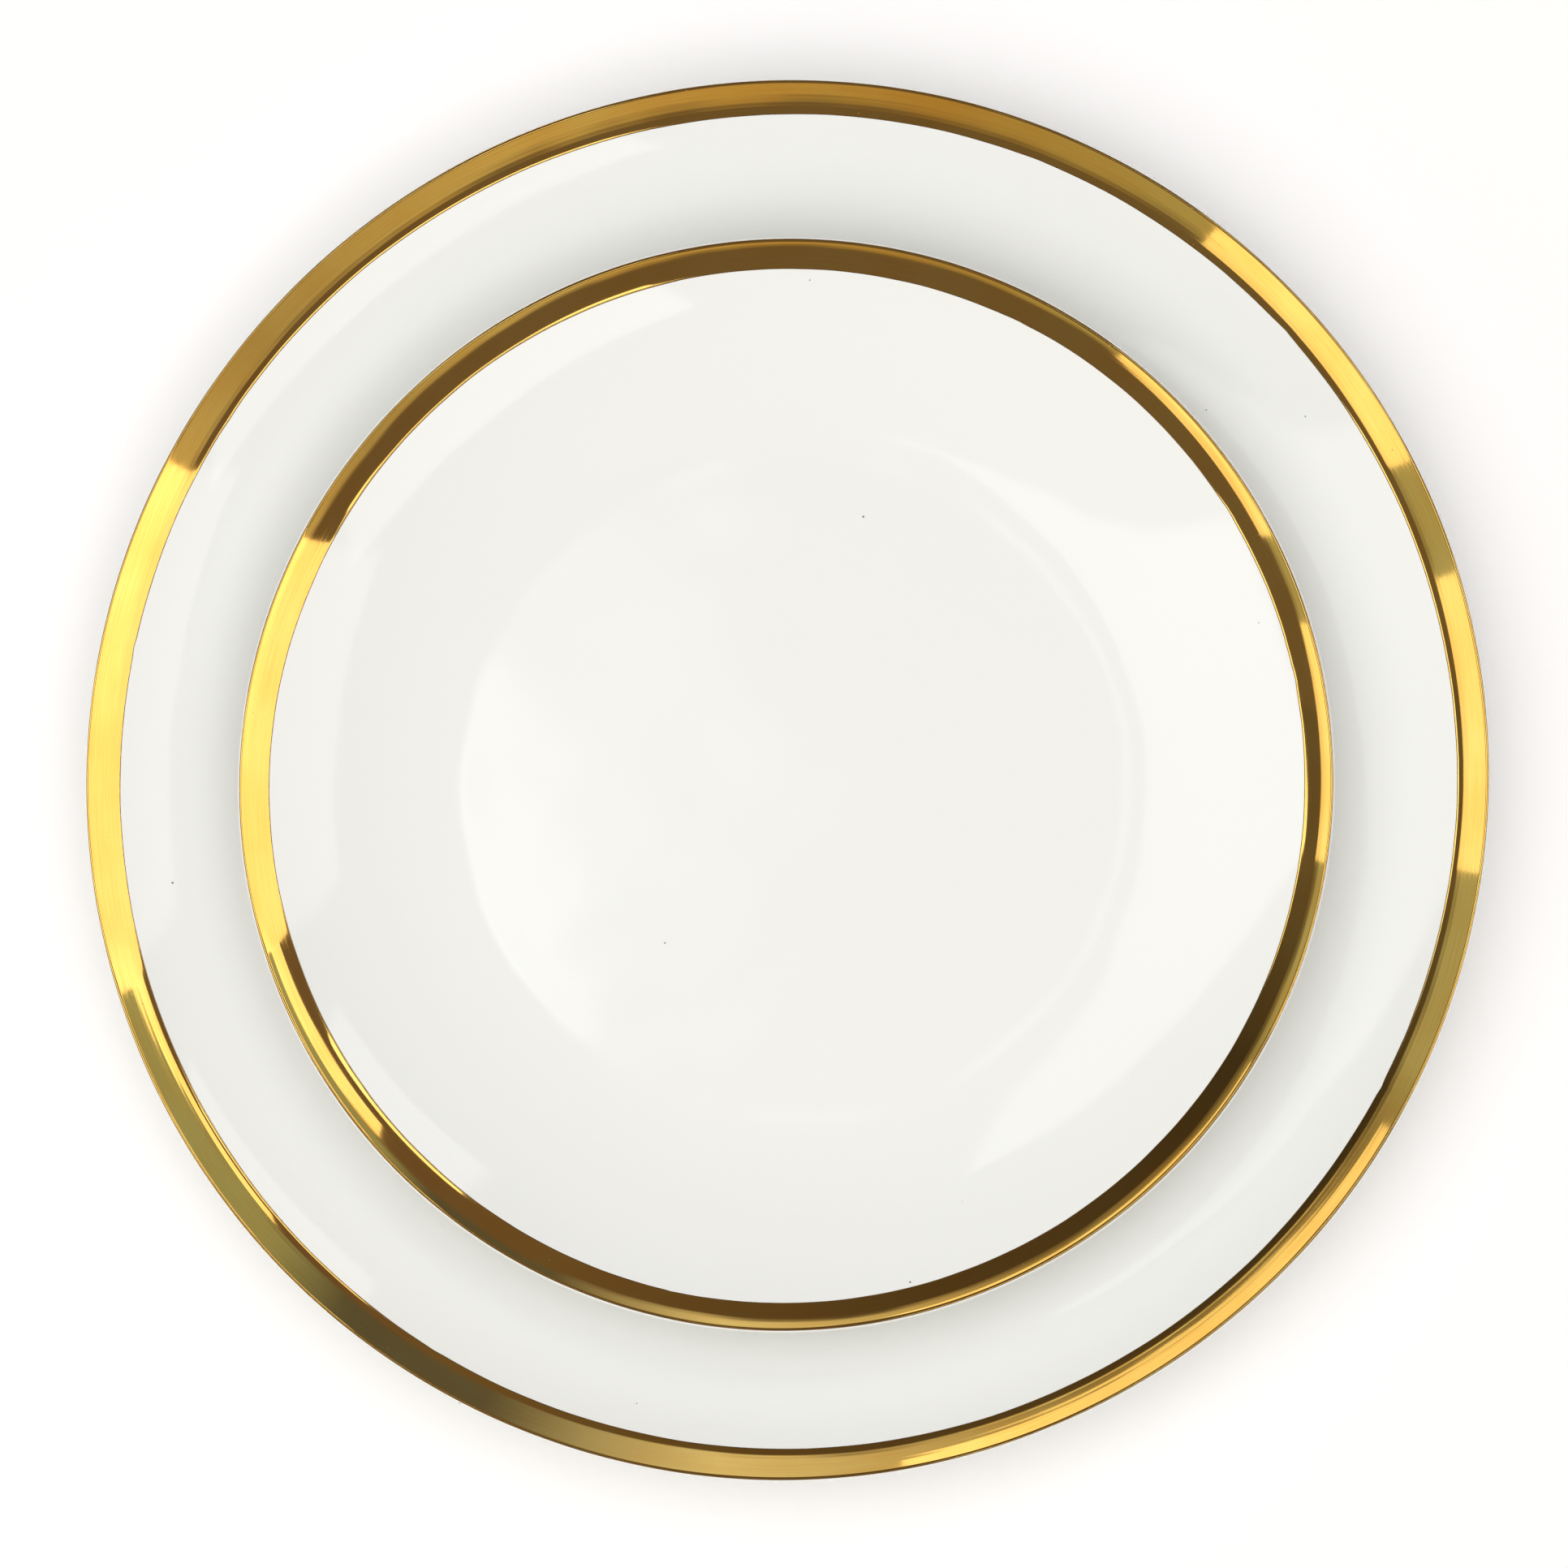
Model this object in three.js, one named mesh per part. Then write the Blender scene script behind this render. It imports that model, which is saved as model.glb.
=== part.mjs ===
// A porcelain coupe dinner plate with its matching salad plate standing in it.
// Each plate is a turned body with a foot ring, a flat well, a curved wall and a steeper rim, and
// carries a gold band that runs up the rim and over its lip. Millimetres, +Z up. The origin is the
// centre of the dinner plate's foot ring, on the table.
import * as THREE from "three";

// Both plates.
const segments = 64; // steps round the axis
const footHeight = 3;
const footWidth = 4;
const footDraft = 1; // how far each side of the foot ring leans in towards its tread
const wellThickness = 3.6;
const wallSlope = 25; // degrees, where the wall ends and the gold begins
const lipRadius = 0.8; // of the round edge, so the rim tapers to twice this
const bandThickness = 0.3;
const bandGap = 0.1; // between the band and its seat
const bareLip = 55; // degrees of the lip's outer quarter that the band leaves white

// Each plate. A run is how far out a stretch reaches. A slope is in degrees, at a stretch's end.
const dinnerPlate = {
  rimRadius: 135,
  wellRadius: 80,
  shoulderRadius: 110,
  shoulderSlope: 10,
  coveRun: 1.4,
  coveSlope: 34,
  rimRun: 3.8,
  rimSlope: 37,
};
const saladPlate = {
  rimRadius: 105,
  wellRadius: 62,
  shoulderRadius: 80,
  shoulderSlope: 12,
  coveRun: 4,
  coveSlope: 34,
  rimRun: 0.6,
  rimSlope: 36,
};

// The salad plate stands in the dinner plate's well, set down by hand and so a little off centre.
const restGap = 0.3;
const saladPosition = new THREE.Vector3(0.6, -1.9, footHeight + wellThickness + restGap);

const porcelain = { color: 0xf1f1ec, roughness: 0.08, metalness: 0 };
const gold = { color: 0xe0a83c, roughness: 0.06, metalness: 1 };

const { degToRad, radToDeg, lerp } = THREE.MathUtils;
const sine = (degrees) => Math.sin(degToRad(degrees));
const cosine = (degrees) => Math.cos(degToRad(degrees));

// A station is a point of a plate's eating surface with the slope there. Outlines are made of
// points (radius, height) that lie a depth below their stations, square to the surface.
const below = ({ radius, height, slope }, depth) =>
  new THREE.Vector2(radius + depth * sine(slope), height - depth * cosine(slope));

// A hollow stretch that leaves a station and bends up to a steeper slope over a run outwards.
function hollow(start, toSlope, run) {
  const bend = run / (sine(toSlope) - sine(start.slope));
  const centreRadius = start.radius - bend * sine(start.slope);
  const centreHeight = start.height + bend * cosine(start.slope);
  return {
    bend,
    at: (slope) => ({
      radius: centreRadius + bend * sine(slope),
      height: centreHeight - bend * cosine(slope),
      slope,
    }),
  };
}

// The round lip, which turns over from the rim's slope to the underside.
function roundLip(start) {
  const centreRadius = start.radius + lipRadius * sine(start.slope);
  const centreHeight = start.height - lipRadius * cosine(start.slope);
  return {
    at: (slope) => ({
      radius: centreRadius - lipRadius * sine(slope),
      height: centreHeight + lipRadius * cosine(slope),
      slope,
    }),
  };
}

// Evenly spaced stations along a stretch, both ends included.
const along = (stretch, fromSlope, toSlope, steps) =>
  Array.from({ length: steps + 1 }, (_, i) => stretch.at(lerp(fromSlope, toSlope, i / steps)));

// The stretches of a plate's eating surface, from the edge of its well outwards.
function stretches(plate) {
  const { rimRadius, wellRadius, shoulderRadius, shoulderSlope } = plate;
  const { coveRun, coveSlope, rimRun, rimSlope } = plate;
  const lipRun = lipRadius * (1 + sine(rimSlope));
  const wallRun = rimRadius - lipRun - rimRun - coveRun - shoulderRadius;
  const wellEdge = { radius: wellRadius, height: footHeight + wellThickness, slope: 0 };
  const shoulder = hollow(wellEdge, shoulderSlope, shoulderRadius - wellRadius);
  const wall = hollow(shoulder.at(shoulderSlope), wallSlope, wallRun);
  const cove = hollow(wall.at(wallSlope), coveSlope, coveRun);
  const rim = hollow(cove.at(coveSlope), rimSlope, rimRun);
  const lip = roundLip(rim.at(rimSlope));
  return { shoulder, wall, cove, rim, lip };
}

// The band's outline, closed: out along its underside, and back along its face.
function bandOutline(plate) {
  const { cove, rim, lip } = stretches(plate);
  const stations = [
    ...along(cove, wallSlope, plate.coveSlope, 2),
    ...along(rim, plate.coveSlope, plate.rimSlope, 2).slice(1),
    ...along(lip, plate.rimSlope, 0, 2).slice(1),
    ...along(lip, 0, bareLip - 90, 2).slice(1),
  ];
  const back = stations.map((station) => below(station, bandThickness));
  const face = stations.map((station) => below(station, 0)).reverse();
  return [...back, ...face, back[0]];
}

// The body's outline: from the axis out over the foot ring and the underside, round the lip,
// down through the band's seat and in along the wall to the middle of the well.
function bodyOutline(plate) {
  const { shoulder, wall, cove, rim, lip } = stretches(plate);
  const { wellRadius, shoulderSlope, coveSlope, rimSlope } = plate;
  const seatDepth = bandThickness + bandGap;
  const seatStart = wallSlope - radToDeg(bandGap / wall.bend);
  const seatEnd = bareLip - 90 - radToDeg(bandGap / lipRadius);

  const foot = [
    new THREE.Vector2(0, footHeight),
    new THREE.Vector2(wellRadius - footWidth, footHeight),
    new THREE.Vector2(wellRadius - footWidth + footDraft, 0),
    new THREE.Vector2(wellRadius - footDraft, 0),
  ];
  // The wall thins from the well to the lip as the surface steepens.
  const thickness = (slope) => lerp(wellThickness, 2 * lipRadius, slope / rimSlope);
  const underside = [
    ...along(shoulder, 0, shoulderSlope, 3),
    ...along(wall, shoulderSlope, wallSlope, 3).slice(1),
    ...along(cove, wallSlope, coveSlope, 1).slice(1),
    ...along(rim, coveSlope, rimSlope, 1).slice(1),
  ].map((station) => below(station, thickness(station.slope)));
  const whiteLip = [
    ...along(lip, rimSlope - 180, -90, 2).slice(1),
    ...along(lip, -90, seatEnd, 1).slice(1),
  ].map((station) => below(station, 0));
  const seat = [
    ...along(lip, seatEnd, 0, 1),
    ...along(lip, 0, rimSlope, 1).slice(1),
    ...along(rim, rimSlope, coveSlope, 1).slice(1),
    ...along(cove, coveSlope, wallSlope, 2).slice(1),
    wall.at(seatStart),
  ].map((station) => below(station, seatDepth));
  const eatingSurface = [
    ...along(wall, seatStart, shoulderSlope, 4),
    ...along(shoulder, shoulderSlope, 0, 3).slice(1),
  ].map((station) => below(station, 0));
  const middle = new THREE.Vector2(0, footHeight + wellThickness);
  return [...foot, ...underside, ...whiteLip, ...seat, ...eatingSurface, middle];
}

// A named solid turned from an outline about the vertical axis.
function turned(name, outline, finish) {
  const geometry = new THREE.LatheGeometry(outline, segments).rotateX(Math.PI / 2);
  const mesh = new THREE.Mesh(geometry, new THREE.MeshStandardMaterial(finish));
  mesh.name = name;
  return mesh;
}

// A whole plate, standing on its foot ring at the group's origin.
function plateGroup(name, plate) {
  const group = new THREE.Group();
  group.add(
    turned(`${name}_body`, bodyOutline(plate), porcelain),
    turned(`${name}_gold_band`, bandOutline(plate), gold),
  );
  return group;
}

const dinner = plateGroup("dinner_plate", dinnerPlate);
const salad = plateGroup("salad_plate", saladPlate);
salad.position.copy(saladPosition);

const placeSetting = new THREE.Group();
placeSetting.add(dinner, salad);

export default placeSetting;
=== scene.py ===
"""A porcelain coupe dinner plate with its salad plate standing in it, each with a fired gold rim.

The plates are turned again here on the CAD solids' profile, but finely and with a tighter lip, the
small unevenness of fired clay, a film of gold that lies on the glaze, and a bare tread under the foot.
"""

import math
from types import SimpleNamespace

import bmesh
import bpy
import numpy as np
from mathutils import Matrix, Vector


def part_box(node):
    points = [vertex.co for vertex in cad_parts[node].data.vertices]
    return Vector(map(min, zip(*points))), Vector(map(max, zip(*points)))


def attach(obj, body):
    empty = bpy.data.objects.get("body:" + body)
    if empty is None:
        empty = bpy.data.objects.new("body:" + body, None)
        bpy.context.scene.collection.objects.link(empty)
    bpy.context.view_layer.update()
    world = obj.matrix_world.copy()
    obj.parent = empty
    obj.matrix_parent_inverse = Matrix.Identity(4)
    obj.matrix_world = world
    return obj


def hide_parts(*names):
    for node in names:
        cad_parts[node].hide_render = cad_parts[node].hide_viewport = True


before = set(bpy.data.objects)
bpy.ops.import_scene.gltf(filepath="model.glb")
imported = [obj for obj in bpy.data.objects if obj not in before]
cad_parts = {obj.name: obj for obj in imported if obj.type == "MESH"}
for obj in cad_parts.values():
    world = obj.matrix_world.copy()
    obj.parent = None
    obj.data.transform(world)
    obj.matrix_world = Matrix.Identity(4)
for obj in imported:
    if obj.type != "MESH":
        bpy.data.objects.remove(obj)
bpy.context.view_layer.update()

MM = 0.001

# ---------------------------------------------------------------- the plates, in mm and degrees

FOOT_HEIGHT = 3
FOOT_WIDTH = 4
FOOT_DRAFT = 1  # how far each side of the foot ring leans in towards its tread
WELL_THICKNESS = 3.6
WALL_SLOPE = 25  # where the wall ends and the gold begins
LIP_RADIUS = 0.8  # half the thickness of the wall where the lip starts
LIP_EDGE_RADIUS = 0.35  # of the lip's tighter bend on the eating side
LIP_EDGE_TURN = 60  # degrees that this bend turns through
BARE_LIP = 55  # degrees of the lip's outer quarter that the gold leaves white
ROOT_ROUNDING = 1.2  # where the foot ring meets the underside
TREAD_ROUNDING = 0.45  # at the two edges of the foot ring's tread

FILM = 0.035  # how far the gold stands on the glaze
FILM_TAPER = 0.08  # the stretch over which it thins to nothing at each edge
BEAD = 0.022  # how much higher the gold stands just inside its inner edge
BEAD_PLACE = 0.17  # how far inside that edge it is highest
BEAD_WIDTH = 0.11
BRUSHED = 0.0006  # height of each of the brush's waves in the gold

SETTLED = 0.22  # how far the whole rim sank in the kiln
SETTLED_OVAL = 0.09
SETTLED_THREE_SIDED = 0.05

SEGMENTS = 400  # steps round each plate


def plate_size(body_node, **profile):
    """A plate's profile, with its rim radius and place read from its CAD body."""
    low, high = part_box(body_node)
    centre = (low + high) / 2
    return SimpleNamespace(
        rim_radius=(high.x - low.x) / 2 / MM,
        place=Vector((centre.x, centre.y, low.z)),
        **profile,
    )


dinner_plate = plate_size(
    "dinner_plate_body",
    body="dinner_plate",
    well_radius=80,
    shoulder_radius=110,
    shoulder_slope=10,
    cove_run=1.4,
    cove_slope=34,
    rim_run=3.8,
    rim_slope=37,
    seed=11,
)
salad_plate = plate_size(
    "salad_plate_body",
    body="salad_plate",
    well_radius=62,
    shoulder_radius=80,
    shoulder_slope=12,
    cove_run=4,
    cove_slope=34,
    rim_run=0.6,
    rim_slope=36,
    seed=23,
)


# ---------------------------------------------------------------- the turned profile
# A station is (radius, height, slope in radians) on the eating surface.


def arc(start, bend, to_slope, steps):
    """Stations from start round an arc of that radius to a slope; a negative bend turns over."""
    radius, height, slope = start
    centre_radius = radius - bend * math.sin(slope)
    centre_height = height + bend * math.cos(slope)
    slopes = np.linspace(slope, math.radians(to_slope), steps + 1)
    return np.column_stack([
        centre_radius + bend * np.sin(slopes),
        centre_height - bend * np.cos(slopes),
        slopes,
    ])


def hollow(start, to_slope, run, steps):
    """Stations from start that bend up to a steeper slope over a run outwards."""
    bend = run / (math.sin(math.radians(to_slope)) - math.sin(start[2]))
    return arc(start, bend, to_slope, steps)


def lip_bends(plate):
    """The lip's wider radius, which with the tighter one spans the wall's thickness, and how far
    the whole lip reaches out."""
    turn = math.radians(LIP_EDGE_TURN)
    start = math.radians(plate.rim_slope)
    wider = (2 * LIP_RADIUS - LIP_EDGE_RADIUS * (1 - math.cos(turn))) / (1 + math.cos(turn))
    reach = LIP_EDGE_RADIUS * (math.sin(start) - math.sin(start - turn))
    return wider, reach + wider * (1 + math.sin(start - turn))


def eating_surface(plate):
    """Stations from the middle of the well out over the lip to the lip's underside."""
    # The wall ends where it does with the CAD's round lip, and the rim runs on to this narrower one.
    wider_bend, lip_run = lip_bends(plate)
    single_lip_run = LIP_RADIUS * (1 + math.sin(math.radians(plate.rim_slope)))
    inner_runs = plate.rim_run + plate.cove_run + plate.shoulder_radius
    wall_run = plate.rim_radius - single_lip_run - inner_runs
    rim_run = plate.rim_run + single_lip_run - lip_run
    level = FOOT_HEIGHT + WELL_THICKNESS
    well = np.array([(r, level, 0.0) for r in np.linspace(0, plate.well_radius, 26)])
    shoulder_run = plate.shoulder_radius - plate.well_radius
    shoulder = hollow(well[-1], plate.shoulder_slope, shoulder_run, 24)
    wall = hollow(shoulder[-1], WALL_SLOPE, wall_run, 30)
    cove = hollow(wall[-1], plate.cove_slope, plate.cove_run, 12)
    rim = hollow(cove[-1], plate.rim_slope, rim_run, 14)
    edge = arc(rim[-1], -LIP_EDGE_RADIUS, plate.rim_slope - LIP_EDGE_TURN, 8)
    lip = np.vstack([edge[:-1], arc(edge[-1], -wider_bend, plate.rim_slope - 180, 16)])
    return SimpleNamespace(well=well, shoulder=shoulder, wall=wall, cove=cove, rim=rim, lip=lip)


def below(stations, depth):
    """Points (radius, height) that lie a depth below the stations, square to the surface."""
    radius, height, slope = stations.T
    return np.column_stack([radius + depth * np.sin(slope), height - depth * np.cos(slope)])


def eased(before, corner, after, reach, steps=6):
    """A rounded corner between two straight runs, from reach before it to reach after it."""
    before, corner, after = (np.array(point, float) for point in (before, corner, after))
    start = corner + (before - corner) * reach / np.linalg.norm(before - corner)
    end = corner + (after - corner) * reach / np.linalg.norm(after - corner)
    t = np.linspace(0, 1, steps + 1)[:, None]
    return (1 - t) ** 2 * start + 2 * t * (1 - t) * corner + t**2 * end


def foot_outline(plate):
    """The underside of the well and the foot ring, from the axis to the foot's outer corner."""
    inner = plate.well_radius - FOOT_WIDTH
    outer = plate.well_radius
    centre = (0, FOOT_HEIGHT)
    inner_root = (inner, FOOT_HEIGHT)
    inner_tread = (inner + FOOT_DRAFT, 0)
    outer_tread = (outer - FOOT_DRAFT, 0)
    outer_root = (outer, FOOT_HEIGHT)
    beyond = (outer + 10, FOOT_HEIGHT + 0.5)
    flat = [(r, FOOT_HEIGHT) for r in np.linspace(0, inner - 2, 24)]
    return np.vstack([
        flat,
        eased(centre, inner_root, inner_tread, ROOT_ROUNDING),
        eased(inner_root, inner_tread, outer_tread, TREAD_ROUNDING),
        eased(inner_tread, outer_tread, outer_root, TREAD_ROUNDING),
        eased(outer_tread, outer_root, beyond, ROOT_ROUNDING),
    ])


def thickness(plate, slopes):
    """The wall's thickness where the surface has these slopes: it thins towards the lip."""
    share = slopes / math.radians(plate.rim_slope)
    return WELL_THICKNESS + (2 * LIP_RADIUS - WELL_THICKNESS) * share


# ---------------------------------------------------------------- the unevenness of fired clay


def plane_waves(rng, count, shortest, longest, steepness):
    """Random waves across the plate: their directions, wave numbers, phases and heights. Lengths
    are in mm, and steepness is the steepest slope that one wave gives."""
    lengths = np.exp(rng.uniform(math.log(shortest), math.log(longest), count))
    return SimpleNamespace(
        heading=rng.uniform(0, math.tau, count),
        number=math.tau / lengths,
        phase=rng.uniform(0, math.tau, count),
        height=steepness * lengths / math.tau,
    )


def unevenness(plate):
    """A function that gives the surface's small rise, in mm, over points x and y of the plate."""
    rng = np.random.default_rng(plate.seed)
    waves = plane_waves(rng, count=26, shortest=14, longest=90, steepness=0.0011)
    turning = plane_waves(rng, count=5, shortest=4, longest=14, steepness=0.0005)

    def rise(x, y):
        total = np.zeros_like(x)
        for heading, number, phase, height in zip(
            waves.heading, waves.number, waves.phase, waves.height
        ):
            along = x * math.cos(heading) + y * math.sin(heading)
            total += height * np.cos(number * along + phase)
        radius = np.hypot(x, y)
        for number, phase, height in zip(turning.number, turning.phase, turning.height):
            total += height * np.cos(number * radius + phase)
        return total

    return rise


def settled(plate, x, y):
    """How far the plate's wall sank in the kiln, in mm: the rim isn't quite level."""
    radius = np.hypot(x, y)
    angle = np.arctan2(y, x)
    share = np.clip((radius - plate.well_radius) / (plate.rim_radius - plate.well_radius), 0, 1)
    oval = SETTLED_OVAL * (1 + np.cos(2 * angle + plate.seed))
    three_sided = SETTLED_THREE_SIDED * (1 + np.cos(3 * angle - plate.seed))
    return (SETTLED + oval + three_sided) * share**2


# ---------------------------------------------------------------- meshes


def grid_mesh(name, rings, closed):
    """A mesh from rings of points, (ring, step round, xyz) in mm. Open, its ends are on the axis."""
    count, steps, _ = rings.shape
    points = rings.reshape(-1, 3) * MM
    index = np.arange(count * steps).reshape(count, steps)
    if not closed:
        index[0] = index[0, 0]
        index[-1] = index[-1, 0]
    rows = range(count if closed else count - 1)
    faces = []
    for row in rows:
        lower, upper = index[row], index[(row + 1) % count]
        for step in range(steps):
            following = (step + 1) % steps
            corners = [lower[step], lower[following], upper[following], upper[step]]
            faces.append(list(dict.fromkeys(int(corner) for corner in corners)))
    mesh = bpy.data.meshes.new(name)
    mesh.from_pydata(points, [], faces)
    mesh.update()
    return mesh


def tidy_mesh(mesh):
    """Drops the points that no face uses, turns every face outwards and shades it smooth."""
    shape = bmesh.new()
    shape.from_mesh(mesh)
    loose = [vertex for vertex in shape.verts if not vertex.link_faces]
    bmesh.ops.delete(shape, geom=loose, context="VERTS")
    bmesh.ops.recalc_face_normals(shape, faces=shape.faces)
    for face in shape.faces:
        face.smooth = True
    shape.to_mesh(mesh)
    shape.free()


def piece(name, mesh, plate, material, replaced):
    """Adds an object in the plate's place, which rides on its CAD body and replaces a CAD node."""
    tidy_mesh(mesh)
    obj = bpy.data.objects.new(name, mesh)
    bpy.context.scene.collection.objects.link(obj)
    obj.location = plate.place
    mesh.materials.append(material)
    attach(obj, plate.body)
    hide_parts(replaced)


def ring_angles():
    """The angles of the steps round a plate, in radians."""
    return np.linspace(0, math.tau, SEGMENTS, endpoint=False)


def porcelain_mesh(plate):
    """The whole fired body, its eating surface a film's thickness below the CAD face."""
    parts = eating_surface(plate)
    rise = unevenness(plate)
    under = np.vstack([parts.shoulder[3::3], parts.wall[2::2], parts.cove[2::2], parts.rim[2:-1:2]])
    underside = below(under, thickness(plate, under[:, 2]))
    underside = underside[underside[:, 0] < parts.lip[-1, 0] - 0.2]
    top = np.vstack([
        parts.well[:-1], parts.shoulder[:-1], parts.wall[:-1],
        parts.cove[:-1], parts.rim[:-1], parts.lip,
    ])
    top = top[::-1]
    outline = np.vstack([foot_outline(plate), underside, below(top, FILM)])
    uneven = np.concatenate([np.zeros(len(outline) - len(top)), np.cos(top[:, 2]).clip(0)])

    angles = ring_angles()
    x = outline[:, :1] * np.cos(angles)
    y = outline[:, :1] * np.sin(angles)
    z = outline[:, 1:] + uneven[:, None] * rise(x, y) - settled(plate, x, y)
    return grid_mesh(f"{plate.body}_porcelain", np.stack([x, y, z], axis=-1), closed=False)


def edge_waver(rng, angles, height, counts):
    """A line's small wander round the plate, in mm, as a sum of waves that close on themselves."""
    return sum(height / math.sqrt(n) * np.cos(n * angles + rng.uniform(0, math.tau)) for n in counts)


def nicks(rng, angles, count):
    """Short slips of the brush, in mm, at places scattered round the plate."""
    total = np.zeros_like(angles)
    for _ in range(count):
        place = rng.uniform(0, math.tau)
        distance = np.abs((angles - place + math.pi) % math.tau - math.pi)
        total += rng.uniform(-0.2, 0.25) * np.exp(-((distance / rng.uniform(0.006, 0.02)) ** 2))
    return total


def film_mesh(plate):
    """The gold, from its wavering inner edge to its edge outside the lip, a closed thin sheet. Its
    points know how far in they lie from each edge, in mm, which the material reads."""
    parts = eating_surface(plate)
    rise = unevenness(plate)
    rng = np.random.default_rng(plate.seed + 1)
    stations = np.vstack([parts.wall[:-1], parts.cove[:-1], parts.rim[:-1], parts.lip])
    steps = np.hypot(*np.diff(stations[:, :2], axis=0).T)
    length = np.concatenate([[0], np.cumsum(steps)])
    angles = ring_angles()
    bare = lip_bends(plate)[0] * math.radians(90 - plate.rim_slope + BARE_LIP)
    start = length[len(parts.wall) - 1] + edge_waver(rng, angles, 0.07, (2, 5, 9, 16, 27, 41, 68))
    start += nicks(rng, angles, 9)
    end = length[-1] - bare + edge_waver(rng, angles, 0.05, (3, 7, 19, 44))

    across = np.concatenate([
        np.linspace(0, 0.12, 11)[:-1],
        np.linspace(0.12, 0.93, 34)[:-1],
        np.linspace(0.93, 1, 6),
    ])
    at = start + across[:, None] * (end - start)
    from_inner = at - start
    from_outer = end - at
    bead = BEAD * np.exp(-(((from_inner - BEAD_PLACE) / BEAD_WIDTH) ** 2))
    taper = np.clip(from_inner / FILM_TAPER, 0, 1) * np.clip(from_outer / FILM_TAPER, 0, 1)
    brushed = sum(
        BRUSHED * np.cos(math.tau * at / spacing + rng.uniform(0, math.tau)
                         + 0.8 * np.cos(angles * count + rng.uniform(0, math.tau)))
        for spacing, count in ((0.9, 3), (1.3, 5), (2.1, 2), (3.3, 4))
    )
    depth = FILM - taper * (FILM + bead + brushed)

    def place(depths):
        radius = np.interp(at, length, stations[:, 0])
        height = np.interp(at, length, stations[:, 1])
        slope = np.interp(at, length, stations[:, 2])
        r = radius + depths * np.sin(slope)
        x, y = r * np.cos(angles), r * np.sin(angles)
        z = height - depths * np.cos(slope)
        z = z + np.cos(slope).clip(0) * rise(x, y) - settled(plate, x, y)
        return np.stack([x, y, z], axis=-1)

    face = place(depth)
    back = place(np.full_like(at, 2 * FILM))[::-1]
    mesh = grid_mesh(f"{plate.body}_gilding", np.concatenate([face, back]), closed=True)
    for name, distance in (("from_inner_edge", from_inner), ("from_outer_edge", from_outer)):
        values = mesh.attributes.new(name, "FLOAT", "POINT")
        values.data.foreach_set("value", np.concatenate([distance, distance[::-1]]).ravel())
    return mesh


# ---------------------------------------------------------------- nodes


def new_material(name):
    """A material with its node tree and its shader."""
    material = bpy.data.materials.new(name)
    material.use_nodes = True
    tree = material.node_tree
    return material, tree, tree.nodes["Principled BSDF"]


def feed(tree, socket, value):
    """Gives a socket a number, a colour or another node's output."""
    if isinstance(value, bpy.types.NodeSocket):
        tree.links.new(value, socket)
    else:
        socket.default_value = value


def node(tree, kind, settings=(), **inputs):
    """A new node, with its settings as pairs and its inputs by name."""
    made = tree.nodes.new(kind)
    for key, value in settings:
        setattr(made, key, value)
    for key, value in inputs.items():
        feed(tree, made.inputs[key.replace("_", " ")], value)
    return made


def calculate(tree, operation, *operands):
    """The result of one step of arithmetic on numbers and other nodes' outputs."""
    made = node(tree, "ShaderNodeMath", [("operation", operation)])
    for socket, value in zip(made.inputs, operands):
        feed(tree, socket, value)
    return made.outputs[0]


def mixed(tree, factor, first, second):
    """The first colour where the factor is 0 and the second where it is 1."""
    made = node(tree, "ShaderNodeMix", [("data_type", "RGBA")])
    feed(tree, made.inputs["Factor"], factor)
    feed(tree, made.inputs["A"], first)
    feed(tree, made.inputs["B"], second)
    return made.outputs["Result"]


def remapped(tree, value, low, high, at_low=0.0, at_high=1.0):
    """The value, eased from one range to another and held at both ends."""
    made = node(tree, "ShaderNodeMapRange", [("interpolation_type", "SMOOTHSTEP")], Value=value)
    for name, number in (
        ("From Min", low), ("From Max", high), ("To Min", at_low), ("To Max", at_high),
    ):
        feed(tree, made.inputs[name], number)
    return made.outputs[0]


def noise(tree, vector, scale, detail):
    """Soft random values about 0.5. Scale is in cells per unit of the vector."""
    made = node(tree, "ShaderNodeTexNoise", Vector=vector, Scale=scale, Detail=detail)
    return made.outputs[0]


def dots(tree, vector, scale, share, size):
    """Scattered round dots, 1 at their middles. Scale is per metre. A cell has one in that share of
    cases, and size is its radius in cells."""
    cells = node(tree, "ShaderNodeTexVoronoi", Vector=vector, Scale=scale)
    chance = node(tree, "ShaderNodeSeparateColor", Color=cells.outputs["Color"])
    radius = remapped(tree, chance.outputs[1], 0, 1, 0.4 * size, size)
    distance = calculate(tree, "DIVIDE", cells.outputs["Distance"], radius)
    there = calculate(tree, "LESS_THAN", chance.outputs[0], share)
    return calculate(tree, "MULTIPLY", remapped(tree, distance, 0.5, 1, 1, 0), there)


def bumped(tree, shader, height):
    """Shapes the shader's normal by a height in mm."""
    bump = node(tree, "ShaderNodeBump", Height=height, Distance=MM)
    tree.links.new(bump.outputs[0], shader.inputs["Normal"])


# ---------------------------------------------------------------- materials


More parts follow.
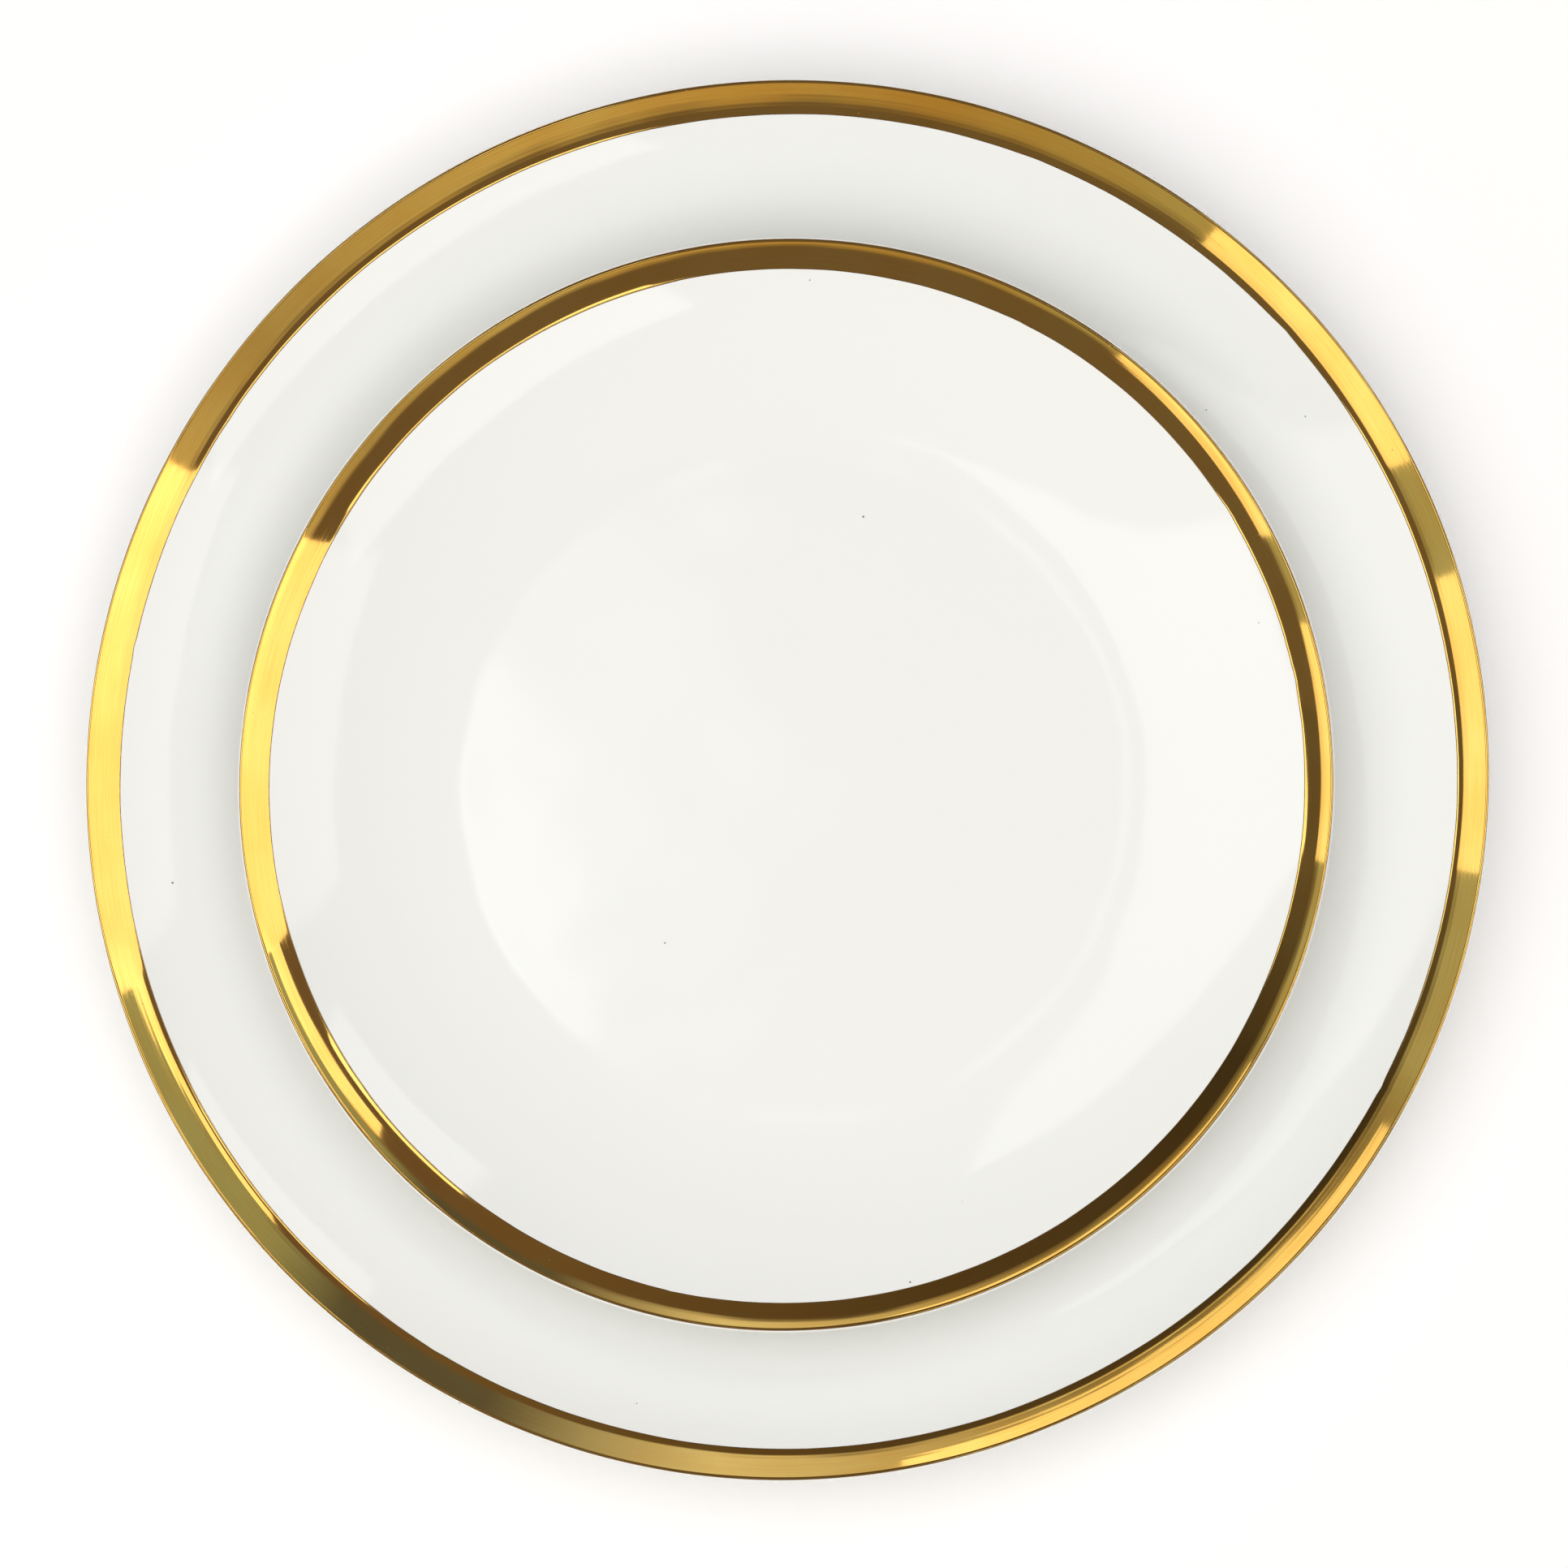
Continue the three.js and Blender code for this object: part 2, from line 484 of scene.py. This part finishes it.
def glazed_porcelain():
    """White clay under a clear glaze with faint clouds, a soft ripple, rare iron specks and pinholes.
    The glaze is wiped off the foot ring's tread, and ends in a wandering, slightly tanned line."""
    material, tree, shader = new_material("glazed_porcelain")
    place = node(tree, "ShaderNodeTexCoord").outputs["Object"]
    height = node(tree, "ShaderNodeSeparateXYZ", Vector=place).outputs["Z"]
    height_mm = calculate(tree, "DIVIDE", height, MM)
    wander = calculate(tree, "MULTIPLY", noise(tree, place, 90, 4), 0.6)
    above_line = calculate(tree, "SUBTRACT", height_mm, wander)
    bare = remapped(tree, above_line, 0.45, 0.55, 1, 0)
    tan_line = calculate(tree, "MULTIPLY", remapped(tree, above_line, 0.5, 0.75, 0.6, 0),
                         calculate(tree, "SUBTRACT", 1, bare))

    clouds = noise(tree, place, 22, 3)
    specks = dots(tree, place, 210, 0.07, 0.06)
    pinholes = dots(tree, place, 260, 0.1, 0.05)
    grain = noise(tree, place, 2600, 3)
    scuffs = remapped(tree, noise(tree, place, 420, 4), 0.52, 0.7)

    glaze = mixed(tree, clouds, (0.853, 0.874, 0.852, 1), (0.843, 0.858, 0.832, 1))
    glaze = mixed(tree, specks, glaze, (0.2, 0.15, 0.11, 1))
    glaze = mixed(tree, tan_line, glaze, (0.66, 0.52, 0.38, 1))
    biscuit = mixed(tree, grain, (0.62, 0.58, 0.52, 1), (0.78, 0.75, 0.7, 1))
    biscuit = mixed(tree, scuffs, biscuit, (0.42, 0.4, 0.38, 1))
    tree.links.new(mixed(tree, bare, glaze, biscuit), shader.inputs["Base Color"])

    glaze_roughness = remapped(tree, clouds, 0.3, 0.7, 0.045, 0.075)
    roughness = calculate(tree, "MAXIMUM", glaze_roughness, calculate(tree, "MULTIPLY", bare, 0.8))
    tree.links.new(roughness, shader.inputs["Roughness"])
    shader.inputs["IOR"].default_value = 1.52

    ripple = calculate(tree, "MULTIPLY", noise(tree, place, 130, 1), 0.006)
    holes = calculate(tree, "MULTIPLY", pinholes, -0.03)
    relief = calculate(tree, "ADD", ripple, holes)
    rough_clay = calculate(tree, "MULTIPLY", calculate(tree, "MULTIPLY", grain, 0.03), bare)
    bumped(tree, shader, calculate(tree, "ADD", relief, rough_clay))
    return material


def fired_gold():
    """Burnished gold, laid on round the rim with a brush: fine streaks that run with the rim, a few
    pits, and browner, duller edges where the film thins out."""
    material, tree, shader = new_material("fired_gold")
    place = node(tree, "ShaderNodeTexCoord").outputs["Object"]
    inner, outer = (
        node(tree, "ShaderNodeAttribute", [("attribute_name", name)]).outputs["Fac"]
        for name in ("from_inner_edge", "from_outer_edge")
    )
    axes = node(tree, "ShaderNodeSeparateXYZ", Vector=place)
    along_rim = node(
        tree, "ShaderNodeCombineXYZ",
        X=calculate(tree, "MULTIPLY", axes.outputs["X"], 70),
        Y=calculate(tree, "MULTIPLY", axes.outputs["Y"], 70),
        Z=calculate(tree, "MULTIPLY", inner, 4),
    ).outputs[0]
    streaks = noise(tree, along_rim, 1, 4)
    clouds = noise(tree, place, 60, 3)
    pits = dots(tree, place, 420, 0.25, 0.06)
    ragged = calculate(tree, "MULTIPLY", noise(tree, place, 900, 3), 0.16)
    nearer = calculate(tree, "MINIMUM", inner, outer)
    edge = remapped(tree, calculate(tree, "SUBTRACT", nearer, ragged), 0, 0.14, 1, 0)

    warmth = calculate(tree, "ADD", calculate(tree, "MULTIPLY", streaks, 0.5),
                       calculate(tree, "MULTIPLY", clouds, 0.5))
    colour = mixed(tree, remapped(tree, warmth, 0.35, 0.65), (0.96, 0.66, 0.175, 1),
                   (0.93, 0.57, 0.13, 1))
    colour = mixed(tree, edge, colour, (0.2, 0.11, 0.055, 1))
    tree.links.new(colour, shader.inputs["Base Color"])
    shader.inputs["Metallic"].default_value = 1

    burnish = remapped(tree, streaks, 0.35, 0.7, 0.035, 0.075)
    dull = calculate(tree, "MULTIPLY", calculate(tree, "MAXIMUM", edge, pits), 0.35)
    tree.links.new(calculate(tree, "ADD", burnish, dull), shader.inputs["Roughness"])
    furrows = calculate(tree, "MULTIPLY", streaks, 0.0005)
    holes = calculate(tree, "MULTIPLY", pits, -0.01)
    bumped(tree, shader, calculate(tree, "ADD", furrows, holes))
    return material


def pale_floor():
    """Matt paper with a faint tooth."""
    material, tree, shader = new_material("pale_floor")
    place = node(tree, "ShaderNodeTexCoord").outputs["Object"]
    tooth = noise(tree, place, 900, 3)
    tone = mixed(tree, tooth, (0.955, 0.955, 0.952, 1), (0.965, 0.965, 0.965, 1))
    tree.links.new(tone, shader.inputs["Base Color"])
    shader.inputs["Roughness"].default_value = 0.9
    shader.inputs["Specular IOR Level"].default_value = 0.1
    return material


# ---------------------------------------------------------------- camera, light and floor, in metres
# A heading is in degrees anticlockwise from +X, an elevation in degrees above the floor.

CAMERA_AIM = Vector((0.0002, -0.0018, 0.018))
CAMERA_HEADING = -50.7
CAMERA_ELEVATION = 82.8
CAMERA_DISTANCE = 1.6
CAMERA_LENS = 192  # mm, on a sensor 36 mm wide
LIGHT_DISTANCE = 1.5
FILL_DISTANCE = 2


def toward(heading, elevation):
    """The direction with that heading and elevation, 1 long."""
    heading, elevation = math.radians(heading), math.radians(elevation)
    return Vector((
        math.cos(elevation) * math.cos(heading),
        math.cos(elevation) * math.sin(heading),
        math.sin(elevation),
    ))


def add_camera():
    """A long lens, nearly overhead, leaning over towards the picture's lower right."""
    back = toward(CAMERA_HEADING, CAMERA_ELEVATION)
    data = bpy.data.cameras.new("camera")
    data.sensor_width = 36
    data.lens = CAMERA_LENS
    camera = bpy.data.objects.new("camera", data)
    bpy.context.scene.collection.objects.link(camera)
    camera.location = CAMERA_AIM + back * CAMERA_DISTANCE
    across = Vector((0, 1, 0)).cross(back).normalized()
    up = back.cross(across)
    camera.rotation_euler = Matrix((across, up, back)).transposed().to_euler()
    bpy.context.scene.camera = camera


def panel(name, location, rotation, width, height, radiance, colour):
    """A soft panel that shines along its own -Z. A mirror shows a radiance of 1 as just white."""
    data = bpy.data.lights.new(name, "AREA")
    data.shape = "RECTANGLE"
    data.size = width
    data.size_y = height
    data.energy = math.pi * width * height * radiance
    data.color = colour
    light = bpy.data.objects.new(name, data)
    bpy.context.scene.collection.objects.link(light)
    light.location = location
    light.rotation_euler = rotation.to_euler()
    light.visible_camera = False
    return light


def softbox(
    name, heading, elevation, wide, high, radiance, turned=0, distance=LIGHT_DISTANCE
):
    """A panel that faces the plates from there and looks that wide and high from them, in degrees,
    turned in its own plane."""
    direction = toward(heading, elevation)
    facing = direction.to_track_quat("Z", "Y").to_matrix()
    rotation = facing @ Matrix.Rotation(math.radians(turned), 3, "Z")
    width, height = (2 * distance * math.tan(math.radians(angle / 2)) for angle in (wide, high))
    return panel(name, direction * distance, rotation, width, height, radiance, (1, 1, 1))


def window(name, headings, elevations, radiance, colour):
    """An upright panel from one heading to another and from one elevation to another."""
    low, high = (LIGHT_DISTANCE * math.tan(math.radians(elevation)) for elevation in elevations)
    outward = toward(sum(headings) / 2, 0)
    location = outward * LIGHT_DISTANCE + Vector((0, 0, (low + high) / 2))
    rotation = outward.to_track_quat("Z", "Y").to_matrix()
    width = 2 * LIGHT_DISTANCE * math.tan(math.radians(headings[1] - headings[0]) / 2)
    return panel(name, location, rotation, width, high - low, radiance, colour)


def add_lights():
    """Softboxes and windows where the gold and the glaze mirror them, and one even light."""
    warm = (1, 0.92, 0.82)
    large_left = softbox("large_left", 169, 61.5, 26, 38, 1.3, turned=30)
    softbox("upper_right", 51, 50, 16, 10, 1.5)
    softbox("lower_right", -54, 60, 30, 11, 1.5)
    tall_right = window("tall_right", (-24, 26), (25, 66), 1.3, warm)
    window("right_wing", (26, 50), (31, 40), 1.3, warm)
    window("low_window_1", (198, 223), (2, 33), 0.95, warm)
    window("low_window_2", (166, 189), (2, 28), 0.88, warm)
    window("low_window_3", (104, 146), (1, 20.5), 0.85, warm)
    # The plates' own shading comes mostly from one even light, which no surface mirrors.
    fill = softbox("fill", -125, 83, 90, 90, 1.43, distance=FILL_DISTANCE)
    fill.visible_glossy = False
    large_left.visible_diffuse = False
    tall_right.visible_diffuse = False


# What the room's walls look like low down and higher up, by heading: the light that the gold
# reflects between the softboxes. The colours are rounded estimates of what the real gold mirrors.
LOW_WALLS = (
    (-170, (0.42, 0.45, 0.42)),  # grey-green
    (-126, (0.40, 0.37, 0.26)),  # olive
    (-112, (0.41, 0.31, 0.17)),  # tan
    (-90, (0.50, 0.39, 0.23)),  # light tan
    (-68, (0.56, 0.50, 0.38)),  # sand
    (-38, (0.40, 0.36, 0.30)),  # taupe
    (-26, (0.55, 0.50, 0.42)),  # stone
    (8, (0.10, 0.10, 0.06)),  # dark, behind tall_right
    (20, (0.09, 0.09, 0.06)),
    (26, (0.36, 0.42, 0.42)),  # grey-blue
    (50, (0.32, 0.38, 0.40)),
    (58, (0.10, 0.11, 0.15)),  # dark blue-grey
    (72, (0.11, 0.12, 0.17)),
    (90, (0.72, 0.74, 0.85)),  # pale blue
    (106, (0.55, 0.52, 0.50)),  # pale stone
    (120, (0.25, 0.22, 0.18)),  # brown, behind low_window_3
    (144, (0.25, 0.22, 0.18)),
    (152, (0.41, 0.44, 0.42)),  # grey-green again
)
HIGH_WALLS = (
    (-180, (0.155, 0.13, 0.12)),
    (55, (0.15, 0.11, 0.11)),
    (72, (0.15, 0.11, 0.09)),
    (105, (0.09, 0.07, 0.06)),
    (145, (0.05, 0.042, 0.04)),
    (165, (0.13, 0.11, 0.10)),
)
LOW_WALLS_TOP = 0.43  # where the low walls end, as the Z of a direction 1 long
LOW_WALLS_RISE = 0.08  # how much higher they end towards +X, and lower towards +Y
LOW_WALLS_WAVER = 0.08  # how much further up a slow noise takes their end
LOW_WALLS_BLUR = 0.03  # to either side of their end
BACKDROP = (0.94, 0.94, 0.93, 1)


def by_heading(tree, turn, stops):
    """A colour that changes with the heading. Turn runs from 0 to 1 as that goes from -180 to 180."""
    ramp = node(tree, "ShaderNodeValToRGB", Fac=turn)
    elements = ramp.color_ramp.elements
    while len(elements) < len(stops):
        elements.new(0.5)
    for element, (heading, colour) in zip(elements, stops):
        element.position = heading / 360 + 0.5
        element.color = (*colour, 1)
    return ramp.outputs[0]


def glow(tree, direction, centre, size, turned):
    """A soft round light patch in the sky, 1 at its middle. Centre and size are as seen straight up."""
    placed = node(
        tree, "ShaderNodeMapping", [("vector_type", "TEXTURE")],
        Vector=direction, Location=(*centre, 1), Rotation=(0, 0, math.radians(turned)),
        Scale=(*size, 1),
    )
    ball = node(tree, "ShaderNodeTexGradient", [("gradient_type", "SPHERICAL")],
                Vector=placed.outputs[0])
    return remapped(tree, ball.outputs["Fac"], 0, 0.5)


def add_world():
    """A dim, warm room with paler walls low down. The camera itself sees only a pale backdrop."""
    world = bpy.data.worlds.new("room")
    bpy.context.scene.world = world
    world.use_nodes = True
    tree = world.node_tree
    direction = node(tree, "ShaderNodeTexCoord").outputs["Generated"]
    axes = node(tree, "ShaderNodeSeparateXYZ", Vector=direction)
    turn = node(tree, "ShaderNodeTexGradient", [("gradient_type", "RADIAL")], Vector=direction)
    turn = turn.outputs["Fac"]
    uneven = calculate(tree, "MULTIPLY", noise(tree, direction, 5, 2), LOW_WALLS_WAVER)
    top = calculate(tree, "MULTIPLY_ADD", axes.outputs["X"], LOW_WALLS_RISE, LOW_WALLS_TOP)
    top = calculate(tree, "MULTIPLY_ADD", axes.outputs["Y"], -LOW_WALLS_RISE, top)
    top = calculate(tree, "ADD", top, uneven)
    above = calculate(tree, "SUBTRACT", axes.outputs["Z"], top)
    low = remapped(tree, above, -LOW_WALLS_BLUR, LOW_WALLS_BLUR, 1, 0)
    walls = mixed(tree, low, by_heading(tree, turn, HIGH_WALLS), by_heading(tree, turn, LOW_WALLS))
    patch = glow(tree, direction, (-0.103, 0.1), (0.024, 0.046), 5)
    room = mixed(tree, patch, walls, (0.95, 0.95, 0.92, 1))

    backdrop = node(tree, "ShaderNodeBackground", Color=BACKDROP)
    seen = node(tree, "ShaderNodeLightPath").outputs["Is Camera Ray"]
    either = node(tree, "ShaderNodeMixShader", Fac=seen)
    tree.links.new(room, tree.nodes["Background"].inputs["Color"])
    tree.links.new(tree.nodes["Background"].outputs[0], either.inputs[1])
    tree.links.new(backdrop.outputs[0], either.inputs[2])
    tree.links.new(either.outputs[0], tree.nodes["World Output"].inputs["Surface"])


def add_floor():
    """A round floor that reaches well past the view."""
    mesh = bpy.data.meshes.new("floor")
    shape = bmesh.new()
    bmesh.ops.create_circle(shape, cap_ends=True, segments=96, radius=8)
    shape.to_mesh(mesh)
    shape.free()
    floor = bpy.data.objects.new("floor", mesh)
    bpy.context.scene.collection.objects.link(floor)
    mesh.materials.append(pale_floor())


# ---------------------------------------------------------------- the scene

bpy.context.scene.view_settings.view_transform = "Standard"
add_camera()
add_world()
add_lights()
add_floor()

porcelain = glazed_porcelain()
gold = fired_gold()
for plate in (dinner_plate, salad_plate):
    name = plate.body
    piece(f"{name}_porcelain", porcelain_mesh(plate), plate, porcelain,
          f"{name}_body")
    piece(f"{name}_gilding", film_mesh(plate), plate, gold, f"{name}_gold_band")
